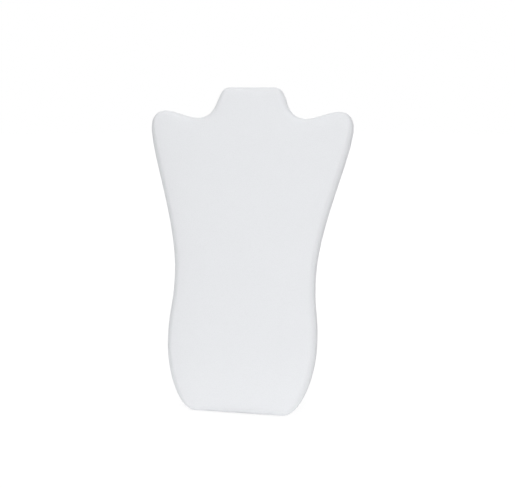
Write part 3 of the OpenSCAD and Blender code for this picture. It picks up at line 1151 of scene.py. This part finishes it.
@dataclass
class PaddedBoard:
    """The board: its cover, foam and lining, with the core and card that they hide.

    Attributes:
        soft_width: How far in the soft edge reaches, where the outline is straight.
        soft_share: The share of that width that has rows of its own.
        soft_power: The power of the soft edge's curve, 2 for an ellipse and more for a fuller one.
        corner_radius: The radius at which a corner pulls the soft edge tightest.
        corner_pull: The share of its width that the soft edge loses there.
        slack_width: How far in the face is held level by its edge.
        free_from: The height over the core where the foam starts to press the skin.
        free_over: The height over which that grows to its full strength.
        pleat_span: How tight a corner is where its pleats start and where they are full.
        pleat_fade: The depth from the outline over which pleats deepen.
    """

    outline: BoardOutline = BoardOutline()
    press: FoamPress = FoamPress()
    core_t: float = 5 * MM
    foam_t: float = 6 * MM
    foam_gap: float = 0.05 * MM
    foam_margin: float = 5 * MM
    cover_t: float = 0.8 * MM
    card_t: float = 1.5 * MM
    lining_t: float = 0.6 * MM
    lining_inset: float = 4.5 * MM
    lining_round: float = 0.5 * MM
    lining_sag: Unevenness = Unevenness(0.03 * MM, 24 * MM, 5.0)
    soft_width: float = 9.5 * MM
    soft_share: float = 0.57
    soft_power: float = 2.5
    corner_radius: float = 13 * MM
    corner_pull: float = 0.38
    slack_width: float = 6 * MM
    swell: Unevenness = Unevenness(0.1 * MM, 38 * MM, 1.0)
    ripple: Unevenness = Unevenness(0.03 * MM, 13 * MM, 7.0)
    free_from: float = 2.5 * MM
    free_over: float = 3 * MM
    turn_r: float = 1.4 * MM
    hem_width: float = 7 * MM
    pleat_depth: float = 0.8 * MM
    pleat_chance: Unevenness = Unevenness(0.6 * MM, 7 * MM)
    pleat_span: tuple[float, float] = (0.2, 0.8)
    pleat_fade: float = 3 * MM
    face_rows: int = 11
    edge_rows: int = 11
    side_rows: int = 3
    turn_rows: int = 4
    hem_rows: int = 5
    lining_rows: int = 9
    lining_round_rows: int = 5

    def __post_init__(self) -> None:
        """Makes the ring that the board's layers follow, and notes how tight the skin is pulled round it."""
        self.ring = self.outline.ring()
        self.tight = self.ring.tight(self.corner_radius)
        self.soft = self.soft_width * (1.0 - self.corner_pull * self.tight)

    def build(self) -> list[Object]:
        """Builds the board's pieces and dresses the nodes that they hide."""
        made = [self.cover(), self.foam(), self.lining()]
        return made + [dress_node("core_board", FIBREBOARD), dress_node("back_card", CARD)]

    def relief(self, skin_t: float) -> Callable[[Points], Points]:
        """Gives the relief of the padded face.

        Args:
            skin_t: How deep under the outer surface it lies.

        Returns:
            A function that gives the heights at places, (n, 2).
        """
        full = self.foam_t + self.cover_t - skin_t

        def height(places: Points) -> Points:
            """Gives the relief's height.

            Args:
                places: Places in the board's plane, (n, 2).

            Returns:
                The heights there, (n,).
            """
            depth, nearest = self.ring.depth_of(places)
            near = np.clip((depth - skin_t) / (self.soft[nearest] - skin_t), 0.0, 1.0)
            return self.core_t + full * np.sqrt(1.0 - (1.0 - near) ** self.soft_power)

        return height

    def face(self, skin_t: float) -> list[Row]:
        """Gives the rows from the middle line out over the face and the soft edge to the core's front.

        Args:
            skin_t: How deep under the outer surface they lie.

        Returns:
            The rows.
        """
        full = self.foam_t + self.cover_t - skin_t
        last = math.acos((1.0 - self.soft_share) ** (self.soft_power / 2))
        shares = [1.0 - step / self.face_rows for step in range(self.face_rows)]
        rows = flat(self.soft_inset(last, skin_t), self.relief(skin_t), shares)
        for step in range(self.edge_rows, -1, -1):
            turn = last * step / self.edge_rows
            rows.append(Row(self.soft_inset(turn, skin_t), self.core_t + full * math.sin(turn)))
        return rows

    def soft_inset(self, turn: float, skin_t: float) -> Points:
        """Gives the inset of the soft edge where it has turned by an angle from upright."""
        return skin_t + (self.soft - skin_t) * (1.0 - math.cos(turn) ** (2 / self.soft_power))

    def settle(self, turn: Points, row: Row) -> Points:
        """Lets the face lie a little uneven, as foam under a stretched skin does.

        Args:
            turn: The row's points, (n, 3).
            row: The row.

        Returns:
            The settled points.
        """
        if callable(row.level) or row.level > self.core_t:
            slack = np.minimum(1.0, row.inset / self.slack_width)
            for layer in (self.swell, self.ripple):
                turn[:, 2] += slack * layer.at(turn)
        return turn

    def gather(self, mesh: Mesh) -> None:
        """Folds the hem into pleats where it is gathered round a corner, and maps them for the finish.

        Args:
            mesh: The cover's skin, in the board's frame.
        """
        step = mesh.verts.layers.int["step"]
        run = mesh.verts.layers.float.new("run")
        pull = mesh.verts.layers.float.new("gathered")
        start, full = self.pleat_span
        for vertex in mesh.verts:
            vertex[run] = vertex[step]
            if vertex.co.z < 0:
                depth = self.ring.depth_of(np.array([vertex.co[:2]]))[0][0]
                corner = (self.tight[vertex[step]] - start) / (full - start)
                vertex[pull] = min(1.0, max(0.0, corner)) * min(1.0, depth / self.pleat_fade)
        hem = LEVEL_GAP - self.cover_t
        along = []
        for edge in mesh.edges:
            first, last = edge.verts
            if first[step] != last[step] and all(end.co.z < hem and end[pull] > 0 for end in (first, last)):
                along.append(edge)
        bmesh.ops.subdivide_edges(mesh, edges=along, cuts=1, use_grid_fill=True)
        for vertex in mesh.verts:
            if vertex.co.z < hem and vertex[run] == round(vertex[run]):
                vertex.co.z += vertex[pull] * (self.pleat_depth + self.pleat_chance.at([vertex.co])[0])
        chart = mesh.loops.layers.uv.new("along_edge")
        for face in mesh.faces:
            for loop in face.loops:
                loop[chart].uv = (loop.vert[run], 0.0)

    def cover(self) -> Object:
        """Makes the cover: the padded face, the side and the turned hem, pressed out by the foam.

        Returns:
            The cover.
        """
        sides = np.linspace(self.core_t, self.turn_r - self.cover_t, self.side_rows + 1)[1:]
        turns = np.linspace(0.0, QUARTER, self.turn_rows + 1)[1:]
        insets = np.linspace(self.turn_r, self.hem_width, self.hem_rows + 1)[1:]
        rows = [*self.face(0.0), *(Row(0.0, level) for level in sides)]
        rows += rounded(0.0, -self.cover_t, self.turn_r, turns)
        rows += [Row(inset, -self.cover_t) for inset in insets]
        mesh = skin(self.ring, rows, self.settle)
        self.gather(mesh)
        over_core = np.array([vertex.co.z for vertex in mesh.verts]) - self.core_t
        made = piece("padded_face_cover", mesh, FRAMES.board, LEATHERETTE)
        self.press.run(made, np.clip((over_core - self.free_from) / self.free_over, 0.0, 1.0))
        thicken(made, self.cover_t, -1.0)
        smooth_out(made)
        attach(made, Body.BOARD.value)
        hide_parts("face_cover")
        return made

    def foam(self) -> Object:
        """Makes the foam pad between the core and the cover.

        Returns:
            The foam pad.
        """
        under = flat(self.cover_t + self.foam_margin, self.core_t, (0.0, 0.5, 1.0))
        rows = [*self.face(self.cover_t + self.foam_gap), Row(self.cover_t, self.core_t), *under]
        made = piece("soft_foam_pad", skin(self.ring, rows), FRAMES.board, FOAM)
        smooth_out(made)
        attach(made, Body.BOARD.value)
        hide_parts("foam_pad")
        return made

    def lining(self) -> Object:
        """Makes the lining that wraps the card on the back.

        Returns:
            The lining.
        """
        low, under = -self.cover_t, -self.cover_t - self.card_t
        top, soft = under - self.lining_t, self.lining_round
        inner = self.lining_inset + self.lining_t
        turns = np.linspace(QUARTER, 0.0, self.lining_round_rows + 1)[1:]
        rows = flat(self.lining_inset + soft, top, np.linspace(1.0, 0.0, self.lining_rows + 1))
        rows += rounded(self.lining_inset, top, soft, turns)
        rows += [Row(self.lining_inset, low), Row(inner, low), *flat(inner, under, (0.0, 0.5, 1.0))]

        def uneven(turn: Points, row: Row) -> Points:
            """Lets the cloth sink a little into the card, and nowhere rise above its level.

            Args:
                turn: The row's points, (n, 3).
                row: The row.

            Returns:
                The points as the cloth lies.
            """
            if row.level <= top + soft:
                turn[:, 2] += self.lining_sag.depth + self.lining_sag.at(turn)
            return turn

        made = piece("back_lining_cloth", skin(self.ring, rows, uneven), FRAMES.board, LINING)
        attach(made, Body.BOARD.value)
        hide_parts("back_lining")
        return made


# The strut


@dataclass
class Strut:
    """The strut: its cover and lining, with the board that they hide.

    Attributes:
        near: The level of its inner face over the hinge pin.
        margin: How far inside a rounded edge the flat of its face starts.
        hem_pull: How far the hem's inner edge follows the strut's middle line.
        outer_t: The thickness of the outer side that lies a little uneven.
    """

    outline: StrutOutline = StrutOutline()
    near: float = 0.6 * MM
    board_t: float = 3 * MM
    cover_t: float = 0.8 * MM
    edge_round: float = 1.3 * MM
    margin: float = 1 * MM
    hem_width: float = 4 * MM
    hem_pull: float = 0.2
    outer_t: float = 0.7 * MM
    swell: Unevenness = Unevenness(0.05 * MM, 30 * MM, 11.0)
    lining_t: float = 0.5 * MM
    lining_inset: float = 2.5 * MM
    lining_round: float = 0.2 * MM
    face_rows: int = 8
    edge_rows: int = 6
    lining_rows: int = 6
    lining_round_rows: int = 4

    def __post_init__(self) -> None:
        """Makes the ring that the strut's layers follow, and works out their levels."""
        self.ring = self.outline.ring()
        self.hem_level = self.near - self.lining_t
        self.far = self.hem_level - 2 * self.cover_t - self.board_t

    def build(self) -> list[Object]:
        """Builds the strut's pieces and dresses the board that they hide."""
        return [self.cover(), self.lining(), dress_node("strut_board", FIBREBOARD)]

    @staticmethod
    def stand(turn: Points, rest: float) -> Points:
        """Keeps points above what the stand rests on.

        Args:
            turn: The points, (n, 3), in the strut's frame.
            rest: How far above it they have to stay.

        Returns:
            The points, of which those that were too low are moved up along the strut.
        """
        rise, tilt, base = FRAMES.strut[2][1:]
        turn[:, 1] = np.maximum(turn[:, 1], (rest - base - turn[:, 2] * tilt) / rise)
        return turn

    def cover(self) -> Object:
        """Makes the cover, which wraps the board and turns onto its inner face.

        Returns:
            The cover.
        """
        soft, far, hem = self.edge_round, self.far, self.hem_level
        inner_low, inner_high = far + self.cover_t, hem - self.cover_t
        turns = np.linspace(0.0, QUARTER, self.edge_rows + 1)
        rows = flat(soft + self.margin, far, np.linspace(1.0, 0.0, self.face_rows + 1))
        rows += rounded(0.0, far, soft, turns[::-1])
        rows += rounded(0.0, hem, -soft, turns)
        rows += flat(self.hem_width, hem, (0.0, self.hem_pull))
        rows += flat(self.hem_width, inner_high, (self.hem_pull,))
        rows += [Row(self.cover_t, inner_high), Row(self.cover_t, inner_low)]
        rows += flat(self.hem_width, inner_low, (0.0, 1.0))

        def wrapped(turn: Points, row: Row) -> Points:
            """Lets the skin lie a little uneven on its outer side and ends it at the foot.

            Args:
                turn: The row's points, (n, 3).
                row: The row.

            Returns:
                The points as the skin lies.
            """
            if row.level < far + self.outer_t and row.inset > 0:
                turn[:, 2] += self.swell.at(turn)
            return self.stand(turn, 0.0)

        made = piece("strut_leatherette", skin(self.ring, rows, wrapped), FRAMES.strut, LEATHERETTE)
        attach(made, Body.STRUT.value)
        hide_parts("strut_cover")
        return made

    def lining(self) -> Object:
        """Makes the lining on the strut's inner face.

        Returns:
            The lining.
        """
        low, top, flat_from = self.hem_level, self.near, self.lining_inset + self.margin
        turns = np.linspace(0.0, QUARTER, self.lining_round_rows + 1)
        rows = [*flat(flat_from, low, (1.0, 0.5, 0.0)), Row(self.lining_inset, low)]
        rows += rounded(self.lining_inset, top, -self.lining_round, turns)
        rows += flat(flat_from, top, np.linspace(0.0, 1.0, self.lining_rows + 1))
        mesh = skin(self.ring, rows, lambda turn, row: self.stand(turn, self.lining_inset))
        made = piece("strut_lining_cloth", mesh, FRAMES.strut, LINING)
        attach(made, Body.STRUT.value)
        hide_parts("strut_lining")
        return made


# The ribbon


@dataclass
class RibbonStay:
    """The ribbon that stops the strut: a tab on the board, a free stretch and a tab on the strut.

    Attributes:
        reach: How far below the hinge pin it bends off the board and the strut.
        tab: The length of each end that lies on them.
        crease: The radius of its bends.
        back_level: The level of the board's back.
        near: The level of the strut's inner face over the hinge pin.
        bow: How far the free stretch bows, and the share of that which is even across it.
    """

    width: float = 10 * MM
    thick: float = 0.35 * MM
    reach: float = 140 * MM
    tab: float = 12 * MM
    crease: float = 0.3 * MM
    crease_steps: int = 8
    back_level: float = -2.9 * MM
    near: float = 0.6 * MM
    bow: tuple[float, float] = (0.25 * MM, 0.4)
    free_steps: int = 40
    columns: int = 14

    def build(self) -> list[Object]:
        """Builds the three stretches of the ribbon, the free one with a mesh of its own.

        Returns:
            The stretches.
        """
        pin = Vector((FRAMES.pin_up, FRAMES.pin_level))
        turn = Matrix.Rotation(FRAMES.open_angle, 2)
        half = self.thick / 2
        board_bend = Vector((FRAMES.pin_up - self.reach, self.back_level - half))
        board_end = board_bend + Vector((self.tab, 0))
        strut_bend = pin + turn @ Vector((-self.reach, self.near + half))
        strut_end = pin + turn @ Vector((-self.reach - self.tab, self.near + half))
        first = self.rounded_corner(board_end, board_bend, strut_bend)
        last = self.rounded_corner(strut_end, strut_bend, board_bend)
        line = [first[-1].lerp(last[-1], step / self.free_steps) for step in range(self.free_steps + 1)]
        on_board = self.strip("ribbon_tab_on_board", [board_end, *first])
        on_strut = self.strip("ribbon_tab_on_strut", [strut_end, *last])
        free = self.strip("ribbon_free_stretch", line, self.bow)
        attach(on_board, Body.BOARD.value)
        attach(on_strut, Body.STRUT.value)
        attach(free, Body.BOARD.value)
        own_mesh(free)
        made = [on_board, free, on_strut]
        for stretch in made:
            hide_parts("ribbon_stay")
        return made

    def rounded_corner(self, before: Vector, corner: Vector, after: Vector) -> list[Vector]:
        """Rounds a corner of the ribbon's line.

        Args:
            before: A point before the corner.
            corner: The corner.
            after: A point after it.

        Returns:
            The rounded corner's points.
        """
        into, out = (corner - before).normalized(), (after - corner).normalized()
        turned = into.angle_signed(out)
        side = math.copysign(1.0, -turned)
        centre = corner - into * self.crease * math.tan(abs(turned) / 2)
        centre += Vector((-into.y, into.x)) * side * self.crease
        points = []
        for step in range(self.crease_steps + 1):
            swung = Matrix.Rotation(-turned * step / self.crease_steps, 2) @ into
            points.append(centre + Vector((swung.y, -swung.x)) * side * self.crease)
        return points

    def strip(self, name: str, line: Sequence[Vector], bow: tuple[float, float] = (0.0, 0.0)) -> Object:
        """Makes a stretch of ribbon along a line of the board's section.

        Args:
            name: The piece's name.
            line: Points of the section, as (height, level).
            bow: How far the stretch bows off its line, and the share of that which is even across it.

        Returns:
            The stretch, with a map in widths along and across it.
        """
        mesh = bmesh.new()
        step = mesh.verts.layers.int.new("step")
        run = mesh.verts.layers.float.new("run")
        chart = mesh.loops.layers.uv.new("weave")
        across = np.linspace(-0.5, 0.5, self.columns + 1) * self.width
        cupped = (1.0 - bow[1]) * np.cos(2 * math.pi * across / self.width) + bow[1]
        rise = np.diff(bow[0] * np.sin(np.linspace(0.0, math.pi, len(line))))
        verts = [mesh.verts.new((place, *line[0])) for place in across]
        for order, vertex in enumerate(verts):
            vertex[step] = order
        edges = [mesh.edges.new(pair) for pair in zip(verts, verts[1:])]
        for before, after, lift in zip(line, line[1:], rise):
            verts, edges = grow(mesh, edges)
            bmesh.ops.translate(mesh, verts=verts, vec=(0, *(after - before)))
            for vertex, share in zip(verts, cupped):
                vertex.co.z += lift * share
                vertex[run] += (after - before).length
        for face in mesh.faces:
            for loop in face.loops:
                loop[chart].uv = (loop.vert.co.x / self.width + 0.5, loop.vert[run] / self.width)
        bmesh.ops.recalc_face_normals(mesh, faces=mesh.faces[:])
        made = piece(name, mesh, FRAMES.board, RIBBON)
        thicken(made, self.thick, 0.0)
        return made


# Metal parts and hidden nodes


def dress_node(name: str, finish: Finish) -> Object:
    """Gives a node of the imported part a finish.

    Args:
        name: The node's name.
        finish: The finish.

    Returns:
        The node's object.
    """
    node = frame["nodes"][name]
    node.data.materials.clear()
    node.data.materials.append(finish.material())
    return node


@dataclass
class Hardware:
    """The hinge, its fasteners and the ribbon's clips, whose solids already have their true shape."""

    hinge: tuple[str, ...] = (
        "hinge_fixed_leaf",
        "hinge_moving_leaf",
        "hinge_pin",
        "hinge_screws",
        "hinge_rivets",
    )
    hinge_edge: float = 0.1 * MM
    clips: tuple[str, ...] = ("ribbon_clip_board", "ribbon_clip_strut")
    clip_edge: float = 0.16 * MM
    weld_gap: float = 1e-6
    flat_angle: float = math.radians(1)
    edge_angle: float = math.radians(35)
    edge_segments: int = 3

    def build(self) -> list[Object]:
        """Softens the edges of the metal nodes and dresses them."""
        made = [self.soften(dress_node(name, NICKEL), self.hinge_edge) for name in self.hinge]
        return made + [self.soften(dress_node(name, CLIP), self.clip_edge) for name in self.clips]

    def soften(self, node: Object, width: float) -> Object:
        """Rounds a node's sharp edges with modifiers, which leave its own mesh alone.

        Args:
            node: The node's object.
            width: The width of the rounding.

        Returns:
            The node's object.
        """
        weld = node.modifiers.new("weld", "WELD")
        weld.merge_threshold = self.weld_gap
        flatten = node.modifiers.new("flatten", "DECIMATE")
        flatten.decimate_type = "DISSOLVE"
        flatten.angle_limit = self.flat_angle
        bevel = node.modifiers.new("round_edges", "BEVEL")
        bevel.width = width
        bevel.segments = self.edge_segments
        bevel.limit_method = "ANGLE"
        bevel.angle_limit = self.edge_angle
        bevel.harden_normals = True
        for polygon in node.data.polygons:
            polygon.use_smooth = True
        return node


# The studio


@dataclass(frozen=True)
class Softbox:
    """A square soft light: its name, its place, the length of its side and its power in watts."""

    name: str
    place: Triple
    side: float
    power: float

    def build(self, target: Vector) -> None:
        """Makes the light.

        Args:
            target: The point that it faces.
        """
        data = bpy.data.lights.new(self.name, "AREA")
        data.shape = "SQUARE"
        data.size = self.side
        data.energy = self.power
        made = add_object(self.name, data)
        made.location = self.place
        made.rotation_euler = (target - made.location).to_track_quat("-Z", "Y").to_euler()


@dataclass
class Studio:
    """The pale floor, the soft lights and the camera.

    Attributes:
        aim: The point that the camera looks at, in the board's frame.
        ambient: The world's light on the stand. To the camera, the world is white.
    """

    azimuth: float = math.radians(9.68)
    elevation: float = math.radians(11.22)
    distance: float = 886.8 * MM
    aim: Triple = (11.8 * MM, 170.65 * MM, 3.5 * MM)
    lens_mm: float = 60.96
    sensor_mm: float = 36.0
    clip: tuple[float, float] = (0.01, 20.0)
    floor_radius: float = 4.0
    floor_segments: int = 96
    ambient: float = 0.277
    lights: tuple[Softbox, ...] = (
        Softbox("key_softbox", (0.0, -1.15, 1.05), 1.1, 3.1),
        Softbox("front_softbox", (0.0, -1.1, 0.22), 0.5, 3.15),
        Softbox("side_softbox", (1.1, -0.7, 0.45), 0.9, 1.8),
        Softbox("top_softbox", (0.0, -0.2, 1.5), 1.1, 6.9),
        Softbox("back_softbox", (-0.3, 1.2, 0.8), 1.0, 4.2),
        Softbox("low_back_softbox", (0.35, 1.2, 0.35), 0.8, 5.2),
    )

    def build(self) -> None:
        """Builds the floor, the lights and the camera, and sets the view transform."""
        bpy.context.scene.view_settings.view_transform = "Standard"
        self.floor()
        self.sky()
        for light in self.lights:
            light.build(FRAMES.board @ Vector((0, *self.aim[1:])))
        self.camera()

    def floor(self) -> None:
        """Makes the floor that the stand is on."""
        mesh = bmesh.new()
        bmesh.ops.create_circle(mesh, cap_ends=True, segments=self.floor_segments, radius=self.floor_radius)
        data = bpy.data.meshes.new("floor")
        mesh.to_mesh(data)
        mesh.free()
        data.materials.append(TABLE.material())
        made = add_object("floor", data)

    def sky(self) -> None:
        """Makes the world white to the camera and a plain level to everything else."""
        world = bpy.data.worlds.new("studio_world")
        bpy.context.scene.world = world
        world.use_nodes = True
        sheet = NodeSheet(world.node_tree)
        plain, white = (sheet.glow(level, "ShaderNodeBackground") for level in (self.ambient, 1.0))
        sheet.node("ShaderNodeOutputWorld", {"Surface": sheet.either(sheet.seen(), plain, white)})

    def camera(self) -> None:
        """Makes the camera at the photograph's angle."""
        data = bpy.data.cameras.new("camera")
        data.sensor_width = self.sensor_mm
        data.lens = self.lens_mm
        data.clip_start, data.clip_end = self.clip
        made = add_object("camera", data)
        turn, rise = self.azimuth, self.elevation
        back = Vector((math.sin(turn) * math.cos(rise), -math.cos(turn) * math.cos(rise), math.sin(rise)))
        made.location = FRAMES.board @ Vector(self.aim) + back * self.distance
        made.rotation_euler = (-back).to_track_quat("-Z", "Y").to_euler()
        bpy.context.scene.camera = made


def main() -> None:
    """Builds the stand's pieces and the studio, and logs how many faces each piece has."""
    logging.basicConfig(level=logging.INFO, format="%(name)s: %(message)s")
    for group in (PaddedBoard(), Strut(), RibbonStay(), Hardware()):
        for made in group.build():
            LOG.info("%s has %d faces", made.name, len(made.data.polygons))
    Studio().build()


if __name__ == "__main__":
    main()
